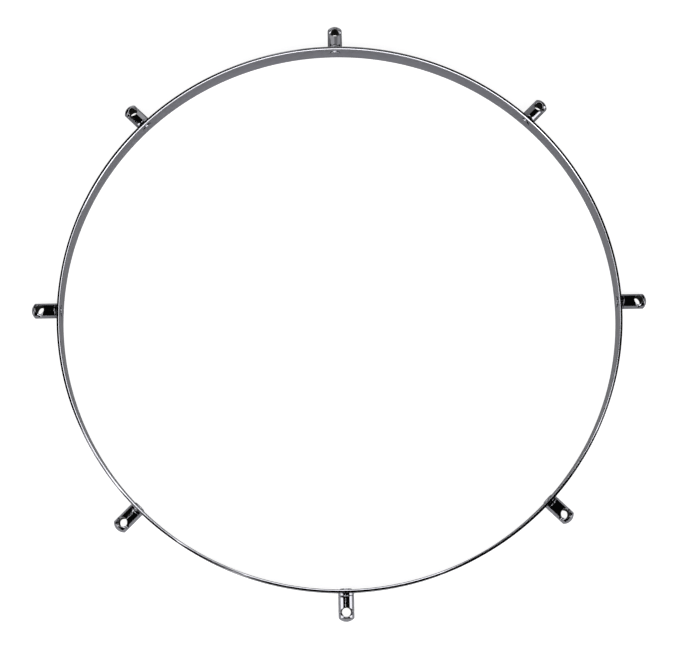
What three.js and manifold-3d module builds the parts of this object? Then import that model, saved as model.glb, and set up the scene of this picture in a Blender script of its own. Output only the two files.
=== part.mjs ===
// Counterhoop of a kettle drum: a flat chromed steel band rolled on edge into a circle, with
// eight turned ears that take the tension rods. Each ear stands on a thin spacer and is held by
// a low-headed rivet from inside the band. All lengths are in millimetres. The origin is the
// centre of the circle that the band's lower edge stands on, and +Z is the hoop's axis.

import * as THREE from "three";
import { mergeVertices } from "three/addons/utils/BufferGeometryUtils.js";
import Module from "manifold-3d";

const wasm = await Module();
wasm.setup();

// The band: 28 in over its outer face, from 1 in by 5/32 in flat stock. Its edges are well
// rounded towards the drum's head and only broken on the outside.
const HOOP_OUTER_DIAMETER = 711.2;
const BAND_THICKNESS = 3.97;
const BAND_HEIGHT = 25.4;
const BAND_INNER_ROUNDING = 1.6;
const BAND_OUTER_ROUNDING = 0.6;

// The ears: 3/4 in round bar with a domed end, their axes at the band's mid height
const LUG_COUNT = 8;
const LUG_DIAMETER = 19.05;
const LUG_REACH = 33.5; // from the band's outer face to the crest of the dome
const LUG_DOME_RADIUS = 12.7;
const LUG_DOME_BLEND = 1.4; // rounding where the dome meets the bar
const LUG_BASE_BEVEL = 0.5;

// The vertical rod hole through each ear, with its mouths eased by hand
const ROD_HOLE_DIAMETER = 10.6;
const ROD_HOLE_REACH = 22.2; // from the band's outer face to the hole's axis
const MOUTH_WIDTH_ON_CROWN = 1.1; // how far the easing runs past the bore, along the ear
const MOUTH_FLANK_SHARE = 0.88; // how far it runs across a flank, from bore to the ear's side
const MOUTH_DEPTH_ON_CROWN = 0.9; // how far the easing runs down the bore
const MOUTH_DEPTH_ON_FLANK = 2.5;
const MOUTH_TAPER = 8; // how narrowly the long easing keeps to the flanks, as a power

// The spacer between band and ear, of the ear's own diameter
const SPACER_THICKNESS = 2.9;
const SPACER_BEVEL = 0.6;

// The rivet: a low button head inside the band and a shank that ends blind in the ear
const RIVET_HEAD_DIAMETER = 14.3;
const RIVET_HEAD_HEIGHT = 1.6;
const RIVET_RIM_HEIGHT = 0.4; // the straight rim under the rounded shoulder
const RIVET_SHOULDER_RADIUS = 0.9;
const RIVET_SHANK_DIAMETER = 7.9;
const RIVET_GRIP = 9.5; // length of shank inside the ear
const SHANK_END_BEVEL = 0.6;
const DRILL_POINT_ANGLE = THREE.MathUtils.degToRad(118); // of the blind hole's end

// Clearances between pieces, and how far cutters run past what they cut
const SEAT_GAP = 0.3;
const SHANK_CLEARANCE = 0.2;
const CUT_OVERRUN = 2;

// How finely round forms are divided
const BAND_SIDES = 144;
const LUG_SIDES = 24;
const HOLE_SIDES = 16;
const RIVET_SIDES = 20;
const CORNER_STEPS = 2;
const DOME_STEPS = 3;
const CROWN_STEPS = 1;

const bandOuterRadius = HOOP_OUTER_DIAMETER / 2;
const bandInnerRadius = bandOuterRadius - BAND_THICKNESS;
const lugRadius = LUG_DIAMETER / 2;
const shankRadius = RIVET_SHANK_DIAMETER / 2;
const shankHoleRadius = shankRadius + SHANK_CLEARANCE;
const lugAxisHeight = BAND_HEIGHT / 2;

// Places along an ear's axis, measured from the hoop's centre
const spacerSeat = bandOuterRadius + SEAT_GAP;
const spacerFace = bandOuterRadius + SPACER_THICKNESS;
const lugSeat = spacerFace + SEAT_GAP;
const lugTip = bandOuterRadius + LUG_REACH;
const rodHolePlace = bandOuterRadius + ROD_HOLE_REACH;
const shankEnd = lugSeat + RIVET_GRIP;

const chrome = { color: 0xb9bbbf, roughness: 0.08, metalness: 1 };
const rivetChrome = { color: 0xa9abb0, roughness: 0.12, metalness: 1 };

// Points of an arc about (x, y), from one angle to another, both ends included
function arc(x, y, radius, fromAngle, toAngle, steps) {
  const points = [];
  for (let i = 0; i <= steps; i++) {
    const angle = THREE.MathUtils.lerp(fromAngle, toAngle, i / steps);
    points.push(new THREE.Vector2(x + radius * Math.cos(angle), y + radius * Math.sin(angle)));
  }
  return points;
}

// A closed three.js geometry as a solid that can be cut
function solidOf(geometry) {
  const bare = geometry.clone();
  bare.deleteAttribute("normal");
  bare.deleteAttribute("uv");
  const merged = mergeVertices(bare);
  const corners = merged.index.array;
  const kept = [];
  for (let i = 0; i < corners.length; i += 3) {
    const [a, b, c] = [corners[i], corners[i + 1], corners[i + 2]];
    if (a !== b && b !== c && c !== a) kept.push(a, b, c);
  }
  const vertProperties = new Float32Array(merged.attributes.position.array);
  return new wasm.Manifold(
    new wasm.Mesh({ numProp: 3, vertProperties, triVerts: new Uint32Array(kept) }),
  );
}

// A cut solid back as a three.js geometry
function geometryOf(solid) {
  const { vertProperties, triVerts } = solid.getMesh();
  const geometry = new THREE.BufferGeometry();
  geometry.setAttribute("position", new THREE.BufferAttribute(vertProperties, 3));
  geometry.setIndex(new THREE.BufferAttribute(triVerts, 1));
  geometry.computeVertexNormals();
  return geometry;
}

// A turned solid whose axis is +X; each profile point is (radius, place along the axis)
function turnedAlongX(profile, sides) {
  return solidOf(new THREE.LatheGeometry(profile, sides).rotateZ(-Math.PI / 2));
}

// A turned solid whose axis is the hoop's own
function turnedAlongZ(profile, sides) {
  return solidOf(new THREE.LatheGeometry(profile, sides).rotateX(Math.PI / 2));
}

// A round bar along +X between two places
function bar(radius, from, to, sides) {
  const profile = [[0, from], [radius, from], [radius, to], [0, to]];
  return turnedAlongX(profile.map(([x, y]) => new THREE.Vector2(x, y)), sides);
}

// A disc about the hoop's axis, centred at the ears' height and taller than band and ears
function tallDisc(radius) {
  const reach = Math.max(BAND_HEIGHT, LUG_DIAMETER) / 2 + CUT_OVERRUN;
  const profile = [[0, -reach], [radius, -reach], [radius, reach], [0, reach]];
  return turnedAlongZ(profile.map(([x, y]) => new THREE.Vector2(x, y)), BAND_SIDES);
}

// A solid through level rings of points, the lowest first, closed at both ends
function stackedRings(rings) {
  const sides = rings[0].length;
  const top = rings.length - 1;
  const lowCentre = new THREE.Vector3(0, 0, rings[0][0].z);
  const highCentre = new THREE.Vector3(0, 0, rings[top][0].z);
  const points = [...rings.flat(), lowCentre, highCentre];
  const corners = [];
  for (let side = 0; side < sides; side++) {
    const next = (side + 1) % sides;
    for (let ring = 0; ring < top; ring++) {
      const [a, b] = [ring * sides + side, ring * sides + next];
      corners.push(a, b, b + sides, a, b + sides, a + sides);
    }
    corners.push(points.length - 2, next, side);
    corners.push(points.length - 1, top * sides + side, top * sides + next);
  }
  const geometry = new THREE.BufferGeometry().setFromPoints(points);
  geometry.setIndex(corners);
  return geometry;
}

// The ear's outer radius at a place along its axis
function lugRadiusAt(place) {
  const pastCentre = Math.max(place - (lugTip - LUG_DOME_RADIUS), 0);
  const domeRadius = Math.sqrt(Math.max(LUG_DOME_RADIUS ** 2 - pastCentre ** 2, 0));
  return Math.min(lugRadius, domeRadius);
}

// The rod hole with its eased mouths, as a cutter about the origin and along Z. The easing
// follows the ear's surface, and is widest and deepest on the two flanks.
function rodHoleCutter() {
  const boreRadius = ROD_HOLE_DIAMETER / 2;
  const widthOnFlank = (lugRadius - boreRadius) * MOUTH_FLANK_SHARE;
  const beyond = lugRadius + CUT_OVERRUN;
  const rings = [[], [], [], [], [], []];
  for (let i = 0; i < HOLE_SIDES; i++) {
    const angle = (i / HOLE_SIDES) * 2 * Math.PI;
    const [along, across] = [Math.cos(angle), Math.sin(angle)];
    const flankShare = across ** MOUTH_TAPER;
    const width = THREE.MathUtils.lerp(MOUTH_WIDTH_ON_CROWN, widthOnFlank, flankShare);
    const depth = THREE.MathUtils.lerp(MOUTH_DEPTH_ON_CROWN, MOUTH_DEPTH_ON_FLANK, flankShare);
    const mouthRadius = boreRadius + width;
    const surfaceAt = (radius) => {
      const earRadius = lugRadiusAt(rodHolePlace + radius * along);
      return Math.sqrt(Math.max(earRadius ** 2 - (radius * across) ** 2, 0));
    };
    const lipHeight = surfaceAt(mouthRadius);
    const boreEnd = surfaceAt(boreRadius) - depth;
    const point = (radius, z) => new THREE.Vector3(radius * along, radius * across, z);
    rings[0].push(point(mouthRadius, -beyond));
    rings[1].push(point(mouthRadius, -lipHeight));
    rings[2].push(point(boreRadius, -boreEnd));
    rings[3].push(point(boreRadius, boreEnd));
    rings[4].push(point(mouthRadius, lipHeight));
    rings[5].push(point(mouthRadius, beyond));
  }
  return solidOf(stackedRings(rings));
}

// The band, with a hole for each rivet's shank
function makeBand() {
  const [broken, round] = [BAND_OUTER_ROUNDING, BAND_INNER_ROUNDING];
  const [outer, inner] = [bandOuterRadius - broken, bandInnerRadius + round];
  const quarter = Math.PI / 2;
  const profile = [
    ...arc(outer, broken, broken, -quarter, 0, CORNER_STEPS),
    ...arc(outer, BAND_HEIGHT - broken, broken, 0, quarter, CORNER_STEPS),
    ...arc(inner, BAND_HEIGHT - round, round, quarter, 2 * quarter, CORNER_STEPS),
    ...arc(inner, round, round, 2 * quarter, 3 * quarter, CORNER_STEPS),
  ];
  profile.push(profile[0].clone());
  let band = turnedAlongZ(profile, BAND_SIDES);
  const from = bandInnerRadius - CUT_OVERRUN;
  const to = bandOuterRadius + CUT_OVERRUN;
  for (let i = 0; i < LUG_COUNT; i++) {
    const hole = bar(shankHoleRadius, from, to, RIVET_SIDES)
      .translate([0, 0, lugAxisHeight])
      .rotate([0, 0, (i / LUG_COUNT) * 360]);
    band = band.subtract(hole);
  }
  return geometryOf(band);
}

// The spacer: a ring whose inner face is hollowed to sit on the round band
function makeSpacer() {
  const root = bandInnerRadius;
  const profile = [
    [shankHoleRadius, root],
    [lugRadius, root],
    [lugRadius, spacerFace - SPACER_BEVEL],
    [lugRadius - SPACER_BEVEL, spacerFace],
    [shankHoleRadius, spacerFace],
    [shankHoleRadius, root],
  ].map(([x, y]) => new THREE.Vector2(x, y));
  const ring = turnedAlongX(profile, LUG_SIDES);
  return geometryOf(ring.subtract(tallDisc(spacerSeat)));
}

// The ear: drilled blind from its base, rounded over at its end, and cross-drilled for the rod
function makeLug() {
  const blindEnd = shankEnd + SEAT_GAP;
  const drillPoint = blindEnd + shankHoleRadius / Math.tan(DRILL_POINT_ANGLE / 2);
  const domeCentre = lugTip - LUG_DOME_RADIUS;
  const blendRadius = lugRadius - LUG_DOME_BLEND;
  const toBlend = LUG_DOME_RADIUS - LUG_DOME_BLEND;
  const blendCentre = domeCentre + Math.sqrt(toBlend ** 2 - blendRadius ** 2);
  const domeStart = Math.atan2(blendCentre - domeCentre, blendRadius);
  const profile = [
    new THREE.Vector2(0, drillPoint),
    new THREE.Vector2(shankHoleRadius, blindEnd),
    new THREE.Vector2(shankHoleRadius, lugSeat),
    new THREE.Vector2(lugRadius - LUG_BASE_BEVEL, lugSeat),
    new THREE.Vector2(lugRadius, lugSeat + LUG_BASE_BEVEL),
    ...arc(blendRadius, blendCentre, LUG_DOME_BLEND, 0, domeStart, CORNER_STEPS),
    ...arc(0, domeCentre, LUG_DOME_RADIUS, domeStart, Math.PI / 2, DOME_STEPS).slice(1),
  ];
  const ear = turnedAlongX(profile, LUG_SIDES);
  const rodHole = rodHoleCutter().translate([rodHolePlace, 0, 0]);
  return geometryOf(ear.subtract(rodHole));
}

// The rivet: its head's underside is rounded to lie against the inside of the band
function makeRivet() {
  const headRadius = RIVET_HEAD_DIAMETER / 2;
  const seat = bandInnerRadius - SEAT_GAP;
  const crest = bandInnerRadius - RIVET_HEAD_HEIGHT;
  const shoulder = RIVET_SHOULDER_RADIUS;
  const rimStart = bandInnerRadius - RIVET_RIM_HEIGHT;
  const rise = RIVET_HEAD_HEIGHT - RIVET_RIM_HEIGHT - shoulder;
  const faceRadius = headRadius - shoulder;
  const crownRadius = (faceRadius ** 2 + rise ** 2) / (2 * rise);
  const crownEnd = -Math.acos(faceRadius / crownRadius);
  const quarter = Math.PI / 2;
  const blank = [
    ...arc(0, crest + crownRadius, crownRadius, -quarter, crownEnd, CROWN_STEPS),
    ...arc(faceRadius, rimStart, shoulder, -quarter, 0, CORNER_STEPS).slice(1),
    new THREE.Vector2(headRadius, spacerFace),
    new THREE.Vector2(0, spacerFace),
  ];
  const head = turnedAlongX(blank, RIVET_SIDES);
  const shank = turnedAlongX(
    [
      [0, rimStart],
      [shankRadius, rimStart],
      [shankRadius, shankEnd - SHANK_END_BEVEL],
      [shankRadius - SHANK_END_BEVEL, shankEnd],
      [0, shankEnd],
    ].map(([x, y]) => new THREE.Vector2(x, y)),
    RIVET_SIDES,
  );
  return geometryOf(head.intersect(tallDisc(seat)).add(shank));
}

function named(name, geometry, finish) {
  const mesh = new THREE.Mesh(geometry, new THREE.MeshStandardMaterial(finish));
  mesh.name = name;
  return mesh;
}

// One ear with its spacer and rivet, in a group that turns about the hoop's axis
function makeStation(number, angle, forms) {
  const station = new THREE.Group();
  station.position.z = lugAxisHeight;
  station.rotation.z = angle;
  station.add(named(`lug_${number}`, forms.lug, chrome));
  station.add(named(`spacer_${number}`, forms.spacer, chrome));
  station.add(named(`rivet_${number}`, forms.rivet, rivetChrome));
  return station;
}

const hoop = new THREE.Group();
hoop.add(named("hoop_band", makeBand(), chrome));
const forms = { lug: makeLug(), spacer: makeSpacer(), rivet: makeRivet() };
for (let i = 0; i < LUG_COUNT; i++) {
  hoop.add(makeStation(i + 1, (i / LUG_COUNT) * 2 * Math.PI, forms));
}

export default hoop;
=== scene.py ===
# %% [markdown]
# A kettle drum's counterhoop, seen from above. The real one is a flat steel bar rolled on edge
# into a circle, with eight turned ears round its outside, all riveted up and then chromed. The
# imported model gives the true places and sizes, so it is loaded first, and the boxes of its
# pieces are read.

# %% Load the frame
import math

import bmesh
import bpy
import numpy as np
from mathutils import Matrix, Vector


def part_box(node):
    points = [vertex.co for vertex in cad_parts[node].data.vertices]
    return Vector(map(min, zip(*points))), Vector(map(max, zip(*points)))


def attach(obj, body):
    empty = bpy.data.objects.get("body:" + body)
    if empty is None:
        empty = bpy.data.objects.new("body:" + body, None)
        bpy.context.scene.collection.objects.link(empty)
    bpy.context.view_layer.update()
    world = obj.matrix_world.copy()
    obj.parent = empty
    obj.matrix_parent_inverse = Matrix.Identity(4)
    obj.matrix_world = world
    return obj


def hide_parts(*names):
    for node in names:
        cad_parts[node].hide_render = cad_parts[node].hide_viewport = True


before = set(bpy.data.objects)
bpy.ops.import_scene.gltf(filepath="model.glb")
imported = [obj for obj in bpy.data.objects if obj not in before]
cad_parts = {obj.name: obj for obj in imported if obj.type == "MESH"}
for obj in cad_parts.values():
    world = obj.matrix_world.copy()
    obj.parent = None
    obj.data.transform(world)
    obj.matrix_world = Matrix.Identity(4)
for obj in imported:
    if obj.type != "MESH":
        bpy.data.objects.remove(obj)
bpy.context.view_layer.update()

MM = 0.001
QUARTER_TURN = math.pi / 2
print("nodes in the frame:", len(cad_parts))

# %% [markdown]
# Sizes come in two sorts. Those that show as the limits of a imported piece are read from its
# box, so the two models can't drift apart. The rest, such as the radius of a rounded edge, are
# the drawing's own values, repeated where each piece is made.

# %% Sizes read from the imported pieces
band_high = Vector(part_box("hoop_band")[1])
ear_low, ear_high = (Vector(corner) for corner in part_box("lug_1"))
rivet_low, rivet_high = (Vector(corner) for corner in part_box("rivet_1"))

STATIONS = sum(node.startswith("lug_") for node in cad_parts)
OUTER_RADIUS = band_high.x
BAND_HEIGHT = band_high.z
EAR_RADIUS = (ear_high.z - ear_low.z) / 2
EAR_AXIS_HEIGHT = (ear_high.z + ear_low.z) / 2
EAR_SEAT, EAR_TIP = ear_low.x, ear_high.x
RIVET_CREST, SHANK_END = rivet_low.x, rivet_high.x
HEAD_RADIUS = (rivet_high.z - rivet_low.z) / 2
print("stations:", STATIONS, "outer radius in mm:", round(OUTER_RADIUS / MM, 1))

# %% [markdown]
# Shader maths reads best as plain arithmetic. A small class holds one output socket and turns
# the operators into Math nodes, so a roughness can be written as 0.1 + wear * 0.5. A second
# class adds any other node from its type, its settings and the values or links of its sockets.

# %% Shader helpers
class Value:
    """One shader output that can be used in sums."""

    def __init__(self, finish, socket):
        self.finish = finish
        self.socket = socket

    def maths(self, operation, *others):
        values = dict(enumerate([self, *others]))
        return self.finish.node("ShaderNodeMath", {"operation": operation}, values)

    def __add__(self, other):
        return self.maths("ADD", other)

    __radd__ = __add__

    def __mul__(self, other):
        return self.maths("MULTIPLY", other)

    __rmul__ = __mul__

    def clamped(self):
        settings = {"operation": "ADD", "use_clamp": True}
        return self.finish.node("ShaderNodeMath", settings, {0: self, 1: 0})


class Finish:
    """A material, or the world, whose nodes are added one call at a time."""

    def __init__(self, name, shelf=bpy.data.materials):
        self.owner = shelf.new(name)
        self.owner.use_nodes = True
        self.tree = self.owner.node_tree
        self.tree.nodes.clear()

    def node(self, kind, settings=None, values=None, output=0):
        made = self.tree.nodes.new(kind)
        for key, setting in (settings or {}).items():
            if key == "stops":
                for stop, (place, colour) in zip(made.color_ramp.elements, setting):
                    stop.position, stop.color = place, colour
            else:
                setattr(made, key, setting)
        for key, value in (values or {}).items():
            if isinstance(value, Value):
                self.tree.links.new(value.socket, made.inputs[key])
            else:
                made.inputs[key].default_value = value
        return Value(self, made.outputs[output])

    def noise(self, where, scale, detail, roughness):
        values = {"Vector": where, "Scale": scale, "Detail": detail, "Roughness": roughness}
        return self.node("ShaderNodeTexNoise", {}, values)

    def mask(self, noise, begins, full):
        """Black up to one value of a noise, white from another, and even between them."""
        stops = [(begins, (0, 0, 0, 1)), (full, (1, 1, 1, 1))]
        return self.node("ShaderNodeValToRGB", {"stops": stops}, {"Fac": noise})

    def mix_colour(self, factor, first, second):
        # The Mix node has sockets for each kind of data: inputs 6 and 7 and output 2 for colours
        values = {0: factor, 6: first, 7: second}
        return self.node("ShaderNodeMix", {"data_type": "RGBA"}, values, output=2)

    def stretched(self, where, scales):
        return self.node("ShaderNodeMapping", {}, {"Vector": where, "Scale": scales})

    def finish_with(self, shader, kind="ShaderNodeOutputMaterial"):
        output = self.tree.nodes.new(kind)
        self.tree.links.new(shader.socket, output.inputs["Surface"])
        return self.owner


# %% [markdown]
# The plate is one bath of chrome over polished steel, so all the pieces share its colour and
# differ in how they were polished. Chrome reflects a little over half the light, slightly blue.
# What makes it look real is what disturbs the mirror: very low waves left by the polishing
# wheel, hair-fine lines, a faint haze from handling, and specks of dust. Each is a noise of its
# own scale, laid on the piece's own coordinates, so that the marks stay where they are from
# every side. The bore of an ear is never polished, so there the plate is dull and rough. Its
# colour is also made near black, as painted shade for the dark inside of the hole.

# %% What the marks on the plate are like
CHROME = (0.555, 0.556, 0.6, 1)
CHROME_WORN = (0.5, 0.49, 0.48, 1)
# The bore's colour: partly the dull unplated steel, partly painted shade, near black for the
# shade inside the hole
BORE_COLOUR_AND_PAINTED_SHADE = (0.04, 0.038, 0.034, 1)

# Each mark's noise: its scale (the higher, the finer), its detail and its roughness
WAVES = (18, 3, 0.5)
SMUDGES = (55, 4, 0.6)
PITS = (500, 4, 0.7)
LINES = (900, 2, 0.7)
SPECKS = (1400, 1, 0.4)

# The values of the noise at which a smudge or a speck begins, and is full
SMUDGE_EDGES = (0.45, 0.75)
SPECK_EDGES = (0.74, 0.8)
HAZE = 0.5

# What each mark adds to the roughness
WEAR_ROUGHNESS = 0.12
LINE_ROUGHNESS = 0.03
SPECK_ROUGHNESS = 0.15
BORE_ROUGHNESS = 0.25
PIT_ROUGHNESS = 0.3

# What the waves and the lines add to the height of the bump
WAVE_HEIGHT = 0.6
LINE_HEIGHT = 0.02
BUMP_STRENGTH = 0.5


# %% Chrome
def chrome(name, bump_depth, roughness=0.045, line_scales=(1, 1, 1), bore=False):
    """Chrome plate; line_scales makes the polishing marks finer along an axis."""
    plate = Finish(name)
    where = plate.node("ShaderNodeTexCoord", output="Object")
    waves = plate.noise(where, *WAVES)
    smudges = plate.mask(plate.noise(where, *SMUDGES), *SMUDGE_EDGES)
    lines = plate.noise(plate.stretched(where, line_scales), *LINES)
    specks = plate.mask(plate.noise(where, *SPECKS), *SPECK_EDGES)
    wear = (smudges * waves * HAZE).clamped()
    colour = plate.mix_colour(wear, CHROME, CHROME_WORN)
    rough = roughness + wear * WEAR_ROUGHNESS + lines * LINE_ROUGHNESS
    rough = rough + specks * SPECK_ROUGHNESS
    if bore:
        inside = plate.node("ShaderNodeAttribute", {"attribute_name": "bore"}, output="Fac")
        pits = plate.noise(where, *PITS)
        # The bore's near-black colour is partly painted shade for the inside of the hole
        colour = plate.mix_colour(inside, colour, BORE_COLOUR_AND_PAINTED_SHADE)
        rough = rough + inside * (BORE_ROUGHNESS + pits * PIT_ROUGHNESS)
    height = waves * WAVE_HEIGHT + lines * LINE_HEIGHT
    relief = {"Height": height, "Strength": BUMP_STRENGTH, "Distance": bump_depth}
    bump = plate.node("ShaderNodeBump", {}, relief)
    surface = {"Base Color": colour, "Metallic": 1.0, "Roughness": rough, "Normal": bump}
    return plate.finish_with(plate.node("ShaderNodeBsdfPrincipled", {}, surface))


# The band's lines run round it, so they are finer across it, along Z
band_chrome = chrome("band_chrome", 0.03 * MM, line_scales=(1, 1, 12))
ear_chrome = chrome("ear_chrome", 0.02 * MM, bore=True)
spacer_chrome = chrome("spacer_chrome", 0.01 * MM)
rivet_chrome = chrome("rivet_chrome", 0.02 * MM, roughness=0.07)
print("finishes:", [m.name for m in bpy.data.materials if "chrome" in m.name])

# %% [markdown]
# Geometry Nodes are wired with one helper too. It adds a node, sets its properties, then its
# inputs, by name or number, and returns it, so that a tree reads from top to bottom. A finished
# tree is run on an object once, and its result is kept as a plain mesh, so that what goes into
# the model is what the render shows.

# %% Geometry tree helpers
def new_tree(name, inputs):
    """A geometry tree with a geometry input, named inputs, and a geometry output."""
    tree = bpy.data.node_groups.new(name, "GeometryNodeTree")
    tree.interface.new_socket("Geometry", in_out="INPUT", socket_type="NodeSocketGeometry")
    for label, kind in inputs.items():
        tree.interface.new_socket(label, in_out="INPUT", socket_type=kind)
    tree.interface.new_socket("Geometry", in_out="OUTPUT", socket_type="NodeSocketGeometry")
    return tree


def add(tree, kind, settings=None, values=None):
    made = tree.nodes.new(kind)
    for key, setting in (settings or {}).items():
        setattr(made, key, setting)
    for key, value in (values or {}).items():
        if isinstance(value, bpy.types.NodeSocket):
            tree.links.new(value, made.inputs[key])
        else:
            made.inputs[key].default_value = value
    return made


def maths(tree, operation, first, second):
    values = {0: first, 1: second}
    return add(tree, "ShaderNodeMath", {"operation": operation}, values).outputs[0]


def object_from(name, mesh):
    made = bpy.data.objects.new(name, mesh)
    bpy.context.collection.objects.link(made)
    return made


def run_tree(source, tree, settings, name):
    """Runs a tree on an object and returns its result as a plain mesh object."""
    modifier = source.modifiers.new(tree.name, "NODES")
    modifier.node_group = tree
    for item in tree.interface.items_tree:
        if item.item_type == "SOCKET" and item.name in settings:
            modifier[item.identifier] = settings[item.name]
    bpy.context.view_layer.update()
    graph = bpy.context.evaluated_depsgraph_get()
    mesh = bpy.data.meshes.new_from_object(source.evaluated_get(graph))
    mesh.name = name
    source.modifiers.remove(modifier)
    bpy.data.objects.remove(source)
    print(name, "faces:", len(mesh.polygons))
    return object_from(name, mesh)


# %% [markdown]
# The hoop's trees share two steps. Ears, spacers, rivets and the drills for the rivets' holes
# are all copied round one axis at equal turns, which is one Instance on Points node with a
# rotation from each point's number. And every tree ends alike: faces are smoothed, edges past
# an angle are kept crisp, and the finish is given.

# %% Copies round the hoop, and the last nodes
CRISP_ANGLE = math.radians(30)


def around(tree, geometry, count):
    """Copies of a piece, turned about the hoop's axis, made real."""
    points = add(tree, "GeometryNodePoints", {}, {"Count": count})
    index = add(tree, "GeometryNodeInputIndex").outputs[0]
    turn = maths(tree, "MULTIPLY", index, maths(tree, "DIVIDE", 2 * math.pi, count))
    rotation = add(tree, "ShaderNodeCombineXYZ", {}, {"Z": turn}).outputs[0]
    placed = {"Points": points.outputs[0], "Instance": geometry, "Rotation": rotation}
    copies = add(tree, "GeometryNodeInstanceOnPoints", {}, placed)
    return add(tree, "GeometryNodeRealizeInstances", {}, {0: copies.outputs[0]}).outputs[0]


def finish_tree(tree, geometry, material):
    """Smooth faces, crisp edges past the crisp angle, and one material."""
    smooth = add(tree, "GeometryNodeSetShadeSmooth", {"domain": "FACE"}, {"Geometry": geometry})
    angle = add(tree, "GeometryNodeInputMeshEdgeAngle").outputs[0]
    sharp = {"operation": "GREATER_THAN", "data_type": "FLOAT"}
    crisp = add(tree, "FunctionNodeCompare", sharp, {0: angle, 1: CRISP_ANGLE})
    edges = {"Geometry": smooth.outputs[0], "Selection": crisp.outputs[0], "Shade Smooth": False}
    split = add(tree, "GeometryNodeSetShadeSmooth", {"domain": "EDGE"}, edges)
    painted = {"Geometry": split.outputs[0], "Material": material}
    coat = add(tree, "GeometryNodeSetMaterial", {}, painted)
    end = tree.nodes.new("NodeGroupOutput")
    tree.links.new(coat.outputs[0], end.inputs[0])


# %% [markdown]
# The band follows a rule: one section, a flat bar with rounded edges, carried round a circle.
# An outline could be spun by hand, but a tree keeps the rule in view: two curves, a circle and
# a filleted rectangle, joined by Curve to Mesh. Its edges are well rounded on the inside, where
# a drum's head comes up, and only broken on the outside, so the fillet's radius depends on
# which side of the section a corner is. The rivets' holes are drilled by one Mesh Boolean
# against a ring of cylinders, and only the edges of those holes are sharp enough to be crisp.

# %% The band's sizes
BAND_THICKNESS = 3.97 * MM
INNER_ROUNDING = 1.6 * MM
OUTER_ROUNDING = 0.6 * MM
SHANK_HOLE_RADIUS = 4.15 * MM
INNER_RADIUS = OUTER_RADIUS - BAND_THICKNESS

BAND_SEGMENTS = 576
ROUNDING_STEPS = 12
DRILL_SIDES = 48
DRILL_LENGTH = 30 * MM
print("inner radius in mm:", round(INNER_RADIUS / MM, 2))


# %% The band's tree
def rolled_bar(tree, given):
    """The section, a rectangle with two sorts of rounded corner, swept round the circle."""
    steps = {"Resolution": BAND_SEGMENTS, "Radius": given["Mean radius"]}
    circle = add(tree, "GeometryNodeCurvePrimitiveCircle", {}, steps)
    sides = {"Width": given["Thickness"], "Height": given["Height"]}
    section = add(tree, "GeometryNodeCurvePrimitiveQuadrilateral", {}, sides)
    corner = add(tree, "GeometryNodeInputPosition").outputs[0]
    across = add(tree, "ShaderNodeSeparateXYZ", {}, {0: corner}).outputs["X"]
    is_outer = add(tree, "FunctionNodeCompare", {"data_type": "FLOAT"}, {0: across, 1: 0.0})
    radii = {"Switch": is_outer.outputs[0]}
    radii |= {"False": given["Inner rounding"], "True": given["Outer rounding"]}
    radius = add(tree, "GeometryNodeSwitch", {"input_type": "FLOAT"}, radii).outputs[0]
    rounding = {"Curve": section.outputs[0], "Radius": radius, "Count": ROUNDING_STEPS}
    rounded_section = add(tree, "GeometryNodeFilletCurve", {"mode": "POLY"}, rounding)
    pair = {"Curve": circle.outputs[0], "Profile Curve": rounded_section.outputs[0]}
    return add(tree, "GeometryNodeCurveToMesh", {}, pair).outputs[0]


def ring_of_drills(tree, given):
    """A cylinder for each rivet's hole, laid along the hoop's radius."""
    size = {"Vertices": DRILL_SIDES, "Radius": given["Hole radius"], "Depth": DRILL_LENGTH}
    drill = add(tree, "GeometryNodeMeshCylinder", {"fill_type": "NGON"}, size)
    start = add(tree, "ShaderNodeCombineXYZ", {}, {"X": given["Mean radius"]}).outputs[0]
    laid = {"Geometry": drill.outputs["Mesh"], "Translation": start}
    laid["Rotation"] = (0, QUARTER_TURN, 0)
    drill_at_start = add(tree, "GeometryNodeTransform", {}, laid)
    return around(tree, drill_at_start.outputs[0], given["Holes"])


def band_tree():
    sizes = (
        "Mean radius", "Thickness", "Height", "Outer rounding", "Inner rounding", "Hole radius",
    )
    inputs = dict.fromkeys(sizes, "NodeSocketFloat") | {"Holes": "NodeSocketInt"}
    tree = new_tree("Rolled band", inputs)
    given = tree.nodes.new("NodeGroupInput").outputs
    cut = add(tree, "GeometryNodeMeshBoolean", {"operation": "DIFFERENCE", "solver": "EXACT"})
    tree.links.new(rolled_bar(tree, given), cut.inputs["Mesh 1"])
    tree.links.new(ring_of_drills(tree, given), cut.inputs["Mesh 2"])
    half = maths(tree, "MULTIPLY", given["Height"], 0.5)
    lift = add(tree, "ShaderNodeCombineXYZ", {}, {"Z": half}).outputs[0]
    raised = {"Geometry": cut.outputs["Mesh"], "Translation": lift}
    placed = add(tree, "GeometryNodeTransform", {}, raised)
    finish_tree(tree, placed.outputs[0], band_chrome)
    return tree


# %% Make the band
band_settings = {
    "Mean radius": (INNER_RADIUS + OUTER_RADIUS) / 2,
    "Thickness": BAND_THICKNESS,
    "Height": BAND_HEIGHT,
    "Outer rounding": OUTER_ROUNDING,
    "Inner rounding": INNER_ROUNDING,
    "Hole radius": SHANK_HOLE_RADIUS,
    "Holes": STATIONS,
}
blank = object_from("band_blank", bpy.data.meshes.new("band_blank"))
band = run_tree(blank, band_tree(), band_settings, "band")
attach(band, "root")
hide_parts("hoop_band")

lowest_of_rim = BAND_HEIGHT - 0.01 * MM
rim = [math.hypot(*v.co.xy) / MM for v in band.data.vertices if v.co.z > lowest_of_rim]
print("flat of the rim, in mm from the axis:", round(min(rim), 2), round(max(rim), 2))

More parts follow.
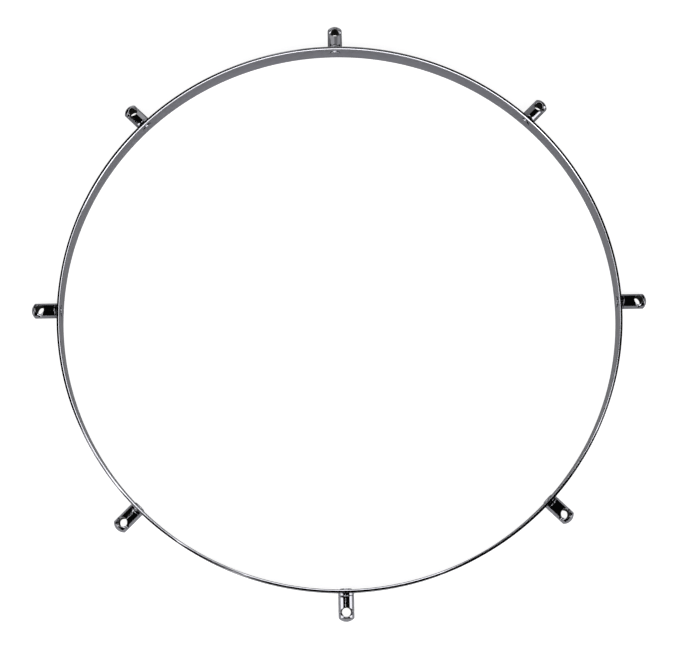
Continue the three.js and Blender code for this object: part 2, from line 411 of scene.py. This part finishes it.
# %% [markdown]
# An ear is a turned bar with a hole drilled across it, and the hole's two mouths are eased by
# hand. Cutting a cylinder with a boolean would leave ragged triangles, and a mirror finish
# shows every one. So the skin is laid out as a drawing: the turned surface is unrolled into a
# flat sheet, distance along the ear by angle round it, rings of points spread from the mouth's
# curve to a rectangle, and the sheet is rolled up again. The lower half mirrors the upper one.

# %% The ear's outline
DOME_RADIUS = 12.7 * MM
DOME_BLEND = 1.4 * MM
EAR_BASE_BEVEL = 0.5 * MM
BLEND_STEPS = 12
DOME_STEPS = 40


def arc_points(centre, radius, start, stop, steps):
    """Points of an arc in the plane of the ear's axis: (place along it, radius)."""
    angles = np.linspace(start, stop, steps + 1)
    return [(centre[0] + radius * math.sin(a), centre[1] + radius * math.cos(a)) for a in angles]


dome_centre = EAR_TIP - DOME_RADIUS
blend_height = EAR_RADIUS - DOME_BLEND
blend_centre = dome_centre + math.sqrt((DOME_RADIUS - DOME_BLEND) ** 2 - blend_height**2)
blend_angle = math.atan2(blend_centre - dome_centre, blend_height)
base_end = EAR_SEAT + EAR_BASE_BEVEL

outline = [(base_end, EAR_RADIUS)]
outline += arc_points((blend_centre, blend_height), DOME_BLEND, 0, blend_angle, BLEND_STEPS)
outline += arc_points((dome_centre, 0), DOME_RADIUS, blend_angle, QUARTER_TURN, DOME_STEPS)[1:]
outline = np.array(outline)
lengths = np.concatenate([[0], np.cumsum(np.hypot(*np.diff(outline, axis=0).T))])
print("length of the ear's outline in mm:", round(lengths[-1] / MM, 2))


# %% From the sheet back to the ear
def ring(place, radius, angle):
    """Points round the ear's axis, from places along it, radii and angles."""
    place, radius, angle = np.broadcast_arrays(place, radius, angle)
    return np.stack([place, radius * np.sin(angle), radius * np.cos(angle)], -1)


def rolled_up(length, angle):
    """Points of the unrolled sheet, put back on the ear."""
    place = np.interp(length, lengths, outline[:, 0])
    radius = np.interp(length, lengths, outline[:, 1])
    return ring(place, radius, angle)


print("the outline's end, back on the ear:", rolled_up(lengths[-1], 0).round(4))

# %% The sheet's patch round the rod hole
ROD_HOLE_RADIUS = 5.3 * MM
ROD_HOLE_REACH = 22.2 * MM
ROD_HOLE_PLACE = OUTER_RADIUS + ROD_HOLE_REACH
PATCH_HALF = 9.2 * MM
ANGLE_STEPS = 40
PATCH_STEPS = 32
hole_length = ROD_HOLE_PLACE - base_end


def patch_edge():
    """Points round the patch: their lengths along the sheet and their angles across it."""
    first, last = hole_length - PATCH_HALF, hole_length + PATCH_HALF
    across = np.linspace(-QUARTER_TURN, QUARTER_TURN, ANGLE_STEPS, endpoint=False)
    along = np.linspace(first, last, PATCH_STEPS, endpoint=False)
    ends = np.full(ANGLE_STEPS, last), np.full(ANGLE_STEPS, first)
    flanks = np.full(PATCH_STEPS, QUARTER_TURN), np.full(PATCH_STEPS, -QUARTER_TURN)
    edge_length = np.concatenate([ends[0], (first + last) - along, ends[1], along])
    edge_angle = np.concatenate([across, flanks[0], -across, flanks[1]])
    return edge_length, edge_angle


print("points round the patch:", len(patch_edge()[0]))

# %% [markdown]
# The mouth's eased edge is narrow and shallow along the ear's crown, and wide and deep over its
# flanks, where a file meets the round bar. So its width and depth go from the crown's values to
# the flank's with a high power of the sine of the turn round the hole, which changes them late
# and quickly. In section it is a curve with three control points: the lip, a point that pulls,
# and the top of the bore. On the crown the point that pulls lies in the old sharp corner, which
# gives a full round, and on the flank it lies near the line between the other two, which gives
# a nearly flat cut.

# %% The mouth and the bore
MOUTH_WIDTH_ON_CROWN = 1.1 * MM
MOUTH_FLANK_SHARE = 0.88
MOUTH_DEPTH_ON_CROWN = 0.9 * MM
MOUTH_DEPTH_ON_FLANK = 2.5 * MM
MOUTH_TAPER = 8
MOUTH_FLATNESS = 0.85
SKIN_STEPS = 12
EASED_STEPS = 10
BORE_STEPS = 6


def blended(first, second, share):
    return first * (1 - share) + second * share


def mouth_rings():
    """Rings from the patch's edge, over the eased mouth and down to the bore's middle."""
    edge_length, edge_angle = patch_edge()
    turn = np.arctan2(edge_angle / QUARTER_TURN, (edge_length - hole_length) / PATCH_HALF)
    cos, sin = np.cos(turn), np.sin(turn)
    flank = sin**MOUTH_TAPER
    flank_width = (EAR_RADIUS - ROD_HOLE_RADIUS) * MOUTH_FLANK_SHARE
    lip = ROD_HOLE_RADIUS + blended(MOUTH_WIDTH_ON_CROWN, flank_width, flank)
    depth = blended(MOUTH_DEPTH_ON_CROWN, MOUTH_DEPTH_ON_FLANK, flank)

    lip_place = ROD_HOLE_PLACE + lip * cos
    lip_length = np.interp(lip_place, outline[:, 0], lengths)
    lip_ear_radius = np.interp(lip_place, outline[:, 0], outline[:, 1])
    lip_angle = np.arcsin(np.clip(lip * sin / lip_ear_radius, -1, 1))
    rings = []
    for share in np.linspace(0, 1, SKIN_STEPS + 1):
        length = edge_length + (lip_length - edge_length) * share
        angle = edge_angle + (lip_angle - edge_angle) * share
        rings.append(rolled_up(length, angle))

    def surface_height(radius):
        ear_radius = np.interp(ROD_HOLE_PLACE + radius * cos, outline[:, 0], outline[:, 1])
        return np.sqrt(np.maximum(ear_radius**2 - (radius * sin) ** 2, 0))

    def ring_at(radius, height):
        return np.stack([ROD_HOLE_PLACE + radius * cos, radius * sin, height], -1)

    lip_height = surface_height(lip)
    corner_height = surface_height(ROD_HOLE_RADIUS)
    bore_top = corner_height - depth
    flat = MOUTH_FLATNESS * flank
    pull_radius = blended(ROD_HOLE_RADIUS, (lip + ROD_HOLE_RADIUS) / 2, flat)
    pull_height = blended(corner_height, (lip_height + bore_top) / 2, flat)
    for share in np.linspace(0, 1, EASED_STEPS + 1)[1:]:
        out, over, down = (1 - share) ** 2, 2 * share * (1 - share), share**2
        radius = lip * out + pull_radius * over + ROD_HOLE_RADIUS * down
        rings.append(ring_at(radius, lip_height * out + pull_height * over + bore_top * down))
    for share in np.linspace(0, 1, BORE_STEPS + 1)[1:]:
        rings.append(ring_at(ROD_HOLE_RADIUS, bore_top * (1 - share)))
    return rings


print("rings from the patch to the bore's middle:", len(mouth_rings()))

# %% Sew and tidy a skin
WELD_DISTANCE = 0.002 * MM
NO_LENGTH = 0.0001 * MM


def sew(shape, rows, closed):
    """Adds rows of points to a mesh being built, with faces between neighbours."""
    made = [[shape.verts.new(point) for point in row] for row in rows]
    for near, far in zip(made, made[1:]):
        count = len(near)
        for i in range(count if closed else count - 1):
            j = (i + 1) % count
            shape.faces.new((near[i], near[j], far[j], far[i]))


def tidied(shape, name):
    """Lifts a skin to the ears' height, welds its seams and turns its faces outwards."""
    bmesh.ops.translate(shape, verts=shape.verts, vec=(0, 0, EAR_AXIS_HEIGHT))
    bmesh.ops.remove_doubles(shape, verts=shape.verts, dist=WELD_DISTANCE)
    bmesh.ops.dissolve_degenerate(shape, edges=shape.edges, dist=NO_LENGTH)
    bmesh.ops.recalc_face_normals(shape, faces=shape.faces)
    mesh = bpy.data.meshes.new(name)
    shape.to_mesh(mesh)
    shape.free()
    print(name, "points:", len(mesh.vertices))
    return mesh


# %% The ear's skin
SEAT_GAP = 0.3 * MM
DRILL_POINT_HALF_ANGLE = math.radians(59)
BEVEL_STEPS = 6
NECK_STEPS = 4
END_STEPS = 13


def ear_mesh():
    angles = np.linspace(-QUARTER_TURN, QUARTER_TURN, ANGLE_STEPS + 1)
    hole_end = SHANK_END + SEAT_GAP
    drill_tip = hole_end + SHANK_HOLE_RADIUS / math.tan(DRILL_POINT_HALF_ANGLE)
    base = [(drill_tip, 0), (hole_end, SHANK_HOLE_RADIUS), (EAR_SEAT, SHANK_HOLE_RADIUS)]
    bevel_centre = (base_end, EAR_RADIUS - EAR_BASE_BEVEL)
    base += arc_points(bevel_centre, EAR_BASE_BEVEL, -QUARTER_TURN, 0, BEVEL_STEPS)
    near = np.linspace(0, hole_length - PATCH_HALF, NECK_STEPS + 1)[1:]
    far = np.linspace(hole_length + PATCH_HALF, lengths[-1], END_STEPS + 1)
    rows = [ring(place, radius, angles) for place, radius in base]
    rows += [rolled_up(length, angles) for length in near]
    end_rows = [rolled_up(length, angles) for length in far]

    shape = bmesh.new()
    for side in (1, -1):
        flip = np.array([1, 1, side])
        sew(shape, [row * flip for row in rows], closed=False)
        sew(shape, [row * flip for row in end_rows], closed=False)
        sew(shape, [row * flip for row in mouth_rings()], closed=True)
    return tidied(shape, "ear")


# %% Mark the bore, so that its rougher skin and its painted shade can be given
BORE_FADE = 0.9 * MM


def mark_bore(mesh):
    """Writes 1 on the bore's points, fading to 0 over the eased mouth."""
    points = np.empty(len(mesh.vertices) * 3)
    mesh.vertices.foreach_get("co", points)
    x, y, _ = points.reshape(-1, 3).T
    from_axis = np.hypot(x - ROD_HOLE_PLACE, y)
    inside = np.clip((ROD_HOLE_RADIUS + BORE_FADE - from_axis) / BORE_FADE, 0, 1)
    mark = mesh.attributes.new("bore", "FLOAT", "POINT")
    mark.data.foreach_set("value", inside)
    print("points marked as bore:", int((inside > 0).sum()))


# %% [markdown]
# Between each ear and the band sits a thin spacer, and a rivet with a low head inside the band
# holds the three together. Both are plain turned pieces, so an outline spun round the axis
# makes them. A Screw modifier would spin it too, but the faces that touch the band also have to
# be bent to its curve, as a fitter would file them, which is easy while the points are at hand.
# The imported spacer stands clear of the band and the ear, so that the solids stay separate. On
# the real hoop those joints are tight, so here the spacer fills both gaps but for a hair.

# %% Turned pieces
ROUND_STEPS = 4


def turned_mesh(name, profile, sides, seat, bend_depth):
    """Spins (place, radius) points; those within bend_depth of the seat follow the band."""
    angles = np.linspace(0, 2 * math.pi, sides, endpoint=False)
    rows = []
    for place, radius in profile:
        row = ring(place, radius, angles)
        if abs(place - seat) <= bend_depth:
            row[:, 0] += np.sqrt(seat**2 - row[:, 1] ** 2) - seat
        rows.append(row)
    shape = bmesh.new()
    sew(shape, rows, closed=True)
    return tidied(shape, name)


def rounded(corner, before, after, size):
    """Points of a small round that replaces a corner of an outline."""
    corner, before, after = (np.array(point, float) for point in (corner, before, after))
    start = corner + (before - corner) / np.linalg.norm(before - corner) * size
    stop = corner + (after - corner) / np.linalg.norm(after - corner) * size
    shares = np.linspace(0, 1, ROUND_STEPS + 1)
    return [
        tuple(start * (1 - t) ** 2 + corner * 2 * t * (1 - t) + stop * t * t) for t in shares
    ]


# %% The spacer
CONTACT = 0.02 * MM
SPACER_BEVEL = 0.6 * MM
SPACER_EDGE = 0.3 * MM
SPACER_BEND_DEPTH = 0.1 * MM
SPACER_SIDES = 96


def spacer_mesh():
    seat, face = OUTER_RADIUS + CONTACT, EAR_SEAT - CONTACT
    inner_low, outer_low = (seat, SHANK_HOLE_RADIUS), (seat, EAR_RADIUS)
    outer_high, inner_high = (face, EAR_RADIUS), (face, SHANK_HOLE_RADIUS)
    profile = [inner_low]
    profile += rounded(outer_low, inner_low, outer_high, SPACER_EDGE)
    profile += rounded(outer_high, outer_low, inner_high, SPACER_BEVEL)
    profile += [inner_high, inner_low]
    return turned_mesh("spacer", profile, SPACER_SIDES, seat, SPACER_BEND_DEPTH)


# %% The rivet
SHANK_RADIUS = 3.95 * MM
SHANK_BEVEL = 0.6 * MM
HEAD_RIM = 0.4 * MM
HEAD_SHOULDER = 0.9 * MM
HEAD_BEND_DEPTH = 0.01 * MM
RIVET_SIDES = 72
CROWN_STEPS = 9
SHOULDER_STEPS = 8


def rivet_mesh():
    seat = INNER_RADIUS - SEAT_GAP
    rim_start = INNER_RADIUS - HEAD_RIM
    face_radius = HEAD_RADIUS - HEAD_SHOULDER
    rise = rim_start - HEAD_SHOULDER - RIVET_CREST
    crown_radius = (face_radius**2 + rise**2) / (2 * rise)
    crown_centre = RIVET_CREST + crown_radius
    face_angle = math.asin(face_radius / crown_radius)
    profile = [(crown_centre - crown_radius * math.cos(a), crown_radius * math.sin(a))
               for a in np.linspace(0, face_angle, CROWN_STEPS + 1)]
    profile += [(rim_start - HEAD_SHOULDER * math.cos(a),
                 face_radius + HEAD_SHOULDER * math.sin(a))
                for a in np.linspace(0, QUARTER_TURN, SHOULDER_STEPS + 1)[1:]]
    profile += [(seat, HEAD_RADIUS), (seat, SHANK_RADIUS)]
    profile += [(SHANK_END - SHANK_BEVEL, SHANK_RADIUS)]
    profile += [(SHANK_END, SHANK_RADIUS - SHANK_BEVEL), (SHANK_END, 0)]
    return turned_mesh("rivet", profile, RIVET_SIDES, seat, HEAD_BEND_DEPTH)


# %% [markdown]
# Each kind of piece is made once, at the first station, and a small tree copies it round the
# hoop. The copies are made real, because the finished model keeps no instances.

# %% Copy each kind round the hoop
def station_tree(name, material):
    tree = new_tree(name, {"Stations": "NodeSocketInt"})
    given = tree.nodes.new("NodeGroupInput").outputs
    finish_tree(tree, around(tree, given["Geometry"], given["Stations"]), material)
    return tree


def make_stations(name, mesh, material, node):
    first = object_from(name + "_first", mesh)
    tree = station_tree(name + " round the hoop", material)
    made = run_tree(first, tree, {"Stations": STATIONS}, name)
    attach(made, "root")
    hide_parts(*[f"{node}_{number + 1}" for number in range(STATIONS)])


ear = ear_mesh()
mark_bore(ear)
make_stations("ears", ear, ear_chrome, "lug")
make_stations("spacers", spacer_mesh(), spacer_chrome, "spacer")
make_stations("rivets", rivet_mesh(), rivet_chrome, "rivet")

# %% [markdown]
# The floor is plain paper of a middle grey, because that is what the chrome mirrors. To the
# camera it also gives off its own light, which lifts it to white and still lets the hoop's soft
# shadow show. The air behind it does the same, so that no hard horizon shows in a low view.
# Both give off little in the chrome, because that mirrors the grey paper and a dark room.

# %% Light that only some rays see
WHITE_TO_CAMERA = 0.92
PAPER_IN_CHROME = 0.04
AIR_IN_CHROME = 0.003
WHITE = (1, 1, 1, 1)


def own_light(finish, in_mirrors):
    """A glow with one strength for the camera and another in metal and glass."""
    seen = finish.node("ShaderNodeLightPath", output="Is Camera Ray")
    mirrored = finish.node("ShaderNodeLightPath", output="Is Glossy Ray")
    through = finish.node("ShaderNodeLightPath", output="Is Transmission Ray")
    return seen * WHITE_TO_CAMERA + (mirrored + through) * in_mirrors


# %% Floor
PAPER = (0.4, 0.4, 0.41, 1)
FLOOR_HALF_SIZE = 60
FLOOR_DROP = 0.2 * MM


def paper():
    sheet = Finish("paper_floor")
    matt = sheet.node("ShaderNodeBsdfDiffuse", {}, {"Color": PAPER})
    light = own_light(sheet, PAPER_IN_CHROME)
    glow = sheet.node("ShaderNodeEmission", {}, {"Color": WHITE, "Strength": light})
    both = sheet.node("ShaderNodeAddShader", {}, {0: matt, 1: glow})
    return sheet.finish_with(both)


floor_shape = bmesh.new()
bmesh.ops.create_grid(floor_shape, x_segments=1, y_segments=1, size=FLOOR_HALF_SIZE)
floor_mesh = bpy.data.meshes.new("floor")
floor_shape.to_mesh(floor_mesh)
floor_shape.free()
floor_mesh.transform(Matrix.Translation((0, 0, -FLOOR_DROP)))
floor = object_from("floor", floor_mesh)
floor.data.materials.append(paper())
print("floor's sides in m:", [round(side, 1) for side in floor.dimensions[:2]])


# %% The air
def studio_air():
    air = Finish("studio_air", bpy.data.worlds)
    light = own_light(air, AIR_IN_CHROME)
    glow = air.node("ShaderNodeBackground", {}, {"Color": WHITE, "Strength": light})
    return air.finish_with(glow, "ShaderNodeOutputWorld")


bpy.context.scene.world = studio_air()
bpy.context.scene.view_settings.view_transform = "Standard"
print("world:", bpy.context.scene.world.name)

# %% [markdown]
# Chrome has no look of its own, only its surroundings, so the lamps are placed for what they
# draw on it. Two tall panels stand left and right, a narrow one draws the thin line on the
# ears, and three boards in three shades stand close behind the hoop. A large key lamp lights
# the paper alone: the chrome doesn't mirror it. The small panels over the hoop are for the
# bright line round its rim and light nothing else. The first of them stands upright and faces
# the back, so that only the far side of the rim sees it. The others lie flat, each over the
# stretch of rim that mirrors it: the nearer a panel is to the middle, the more it shows in the
# inner rounding, and the less in the flat.

# %% Lamps round the hoop
def lamp(name, place, target, width, height, radiance):
    """A rectangular lamp that shows in the chrome but not to the camera."""
    light = bpy.data.lights.new(name, "AREA")
    light.shape = "RECTANGLE"
    light.size, light.size_y = width, height
    # Power for a given brightness: it goes out over a half sphere from the whole of the panel
    light.energy = radiance * math.pi * width * height
    made = bpy.data.objects.new(name, light)
    bpy.context.collection.objects.link(made)
    aim = (Vector(target) - Vector(place)).to_track_quat("-Z", "Y")
    made.matrix_world = Matrix.Translation(place) @ aim.to_matrix().to_4x4()
    made.visible_camera = False
    return made


lamp("right_panel", (1.5, -0.43, 0.65), (0, -0.43, 0.65), 0.64, 1.2, 1.7)
lamp("left_panel", (-1.5, -0.68, 0.75), (0, -0.68, 0.75), 0.84, 1.4, 1.7)
lamp("side_lamp", (-0.32, -0.37, 1.4), (-0.2, -0.3, 0), 0.06, 0.2, 2.4)
lamp("key_lamp", (0, -1.0, 1.15), (0, -0.4, 0), 1.8, 0.9, 4.2).visible_glossy = False

# Boards behind the hoop: where each begins and ends along x, and how bright it is
BOARDS = ((-0.42, -0.06, 0.5), (-0.06, 0.30, 0.22), (0.30, 0.45, 0.42))
BOARD_PLACE, BOARD_MIDDLE, BOARD_HEIGHT = 0.59, 0.26, 0.52
for start, stop, radiance in BOARDS:
    middle = (start + stop) / 2
    place, target = (middle, BOARD_PLACE, BOARD_MIDDLE), (middle, 0, BOARD_MIDDLE)
    lamp("back_board", place, target, stop - start, BOARD_HEIGHT, radiance)
print("lamps round the hoop:", len(bpy.data.lights))

# %% Panels over the hoop, which only the chrome sees
def rim_panel(place, target, width, depth, radiance):
    lamp("rim_panel", place, target, width, depth, radiance).visible_diffuse = False


rim_panel((-0.035, 0.12, 0.27), (-0.035, 0.5, 0.27), 0.33, 0.375, 3.0)

# Panels that face down: place, width, depth and brightness
FLAT_PANELS = (
    ((0, -0.258, 0.2), 0.26, 0.115, 3.0),
    ((-0.075, 0.21, 0.65), 0.39, 0.10, 2.0),
    ((-0.325, 0.24, 0.65), 0.11, 0.14, 3.0),
    ((-0.28, -0.06, 0.65), 0.18, 0.16, 3.0),
    ((-0.23, 0.09, 0.65), 0.28, 0.14, 3.0),
    ((-0.412, -0.07, 0.65), 0.056, 0.06, 1.1),
    ((-0.385, -0.13, 0.65), 0.03, 0.06, 1.1),
    ((-0.325, -0.16, 0.65), 0.04, 0.04, 1.1),
    ((-0.175, -0.24, 0.2), 0.09, 0.075, 2.0),
    ((0.35, 0.02, 0.65), 0.16, 0.14, 3.0),
    ((0.35, 0.18, 0.65), 0.12, 0.1, 1.5),
)
for place, width, depth, radiance in FLAT_PANELS:
    rim_panel(place, (*place[:2], 0), width, depth, radiance)
print("lamps in all:", len(bpy.data.lights))

# %% [markdown]
# The camera's place, turn and lens were worked out from the photograph by fitting the hoop's
# two edges and the tips of its ears. The turn is kept as one axis, whose length is the angle in
# degrees from looking straight down, because that is how the fit gave it.

# %% Camera
CAMERA_PLACE = (-0.0223, -0.4149, 1.5066)
CAMERA_TURN = (14.626, -0.790, -1.066)
FRAME_WIDTH = 685
FOCAL_PIXELS = 1222.9
SENSOR_WIDTH = 36

lens = bpy.data.cameras.new("camera")
lens.sensor_width = SENSOR_WIDTH
lens.lens = FOCAL_PIXELS / FRAME_WIDTH * SENSOR_WIDTH
camera = bpy.data.objects.new("camera", lens)
bpy.context.collection.objects.link(camera)
turn = Vector(CAMERA_TURN)
spin = Matrix.Rotation(math.radians(turn.length), 4, turn.normalized())
camera.matrix_world = Matrix.Translation(CAMERA_PLACE) @ spin
bpy.context.scene.camera = camera
print("lens in mm:", round(lens.lens, 2))
